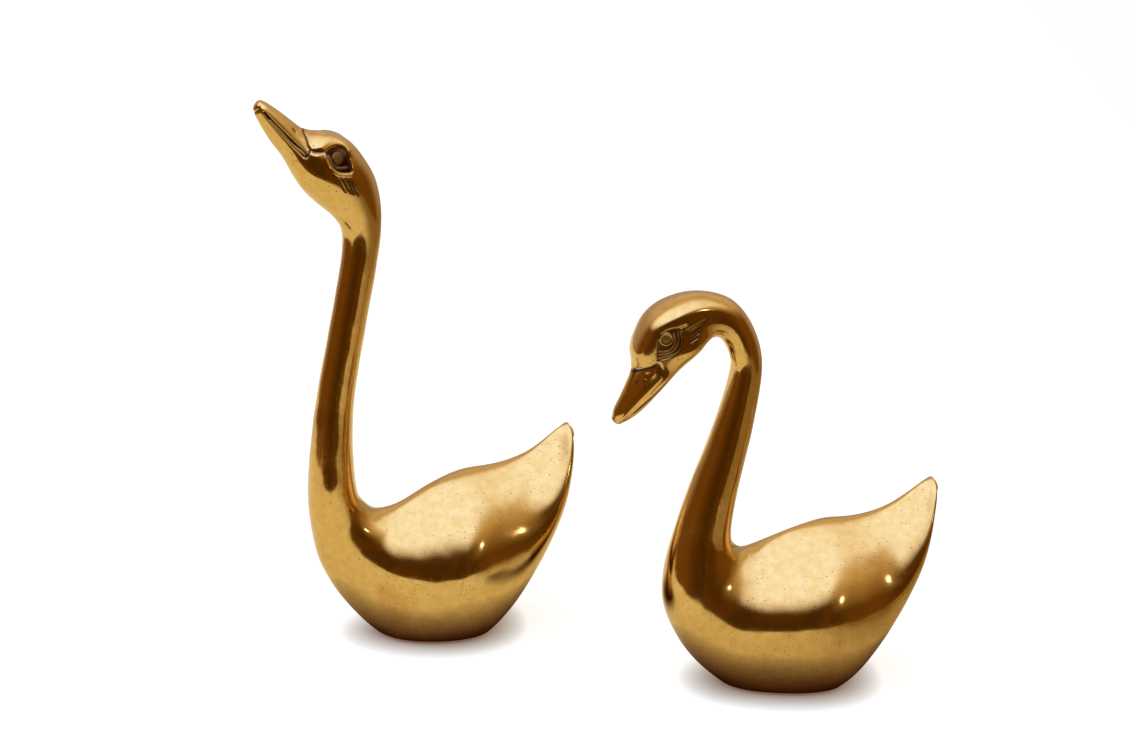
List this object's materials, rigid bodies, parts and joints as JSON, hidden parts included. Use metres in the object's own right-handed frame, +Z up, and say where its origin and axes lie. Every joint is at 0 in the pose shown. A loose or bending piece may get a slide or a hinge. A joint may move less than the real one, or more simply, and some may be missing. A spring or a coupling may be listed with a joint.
{
  "type": "brass swan sculpture",
  "caption": "Matched polished cast-brass swans, a taller with a raised head and a shorter with a bowed neck, hollow bodies on felt-padded oval feet.",
  "frame": {"origin": "on the table under the middle of the pair's box", "axes": "+X to the right of the picture with both beaks towards -X, +Y away from the viewer, +Z up"},
  "size_m": [0.2868, 0.117, 0.2465],
  "materials": {
    "polished_brass": "polished cast brass with light tarnish, fine scratches and small casting pits",
    "brass_rod": "drawn brass rod, unpolished",
    "felt": "dark wool felt, glued on"
  },
  "bodies": {
    "tall_swan": {"tall_head": "polished_brass", "tall_head_dowel": "brass_rod", "tall_neck": "polished_brass", "tall_neck_dowel": "brass_rod", "tall_left_shell": "polished_brass", "tall_right_shell": "polished_brass", "tall_chest_pin": "brass_rod", "tall_back_pin": "brass_rod", "tall_tail_pin": "brass_rod", "tall_felt_pad": "felt"},
    "short_swan": {"short_head": "polished_brass", "short_head_dowel": "brass_rod", "short_neck": "polished_brass", "short_neck_dowel": "brass_rod", "short_left_shell": "polished_brass", "short_right_shell": "polished_brass", "short_chest_pin": "brass_rod", "short_back_pin": "brass_rod", "short_tail_pin": "brass_rod", "short_felt_pad": "felt"}
  },
  "joints": [
    {"name": "short_swan_lift", "type": "slide", "parent": "tall_swan", "child": "short_swan", "axis": [0, 0, 1], "range_m": [0, 0.3]}
  ]
}
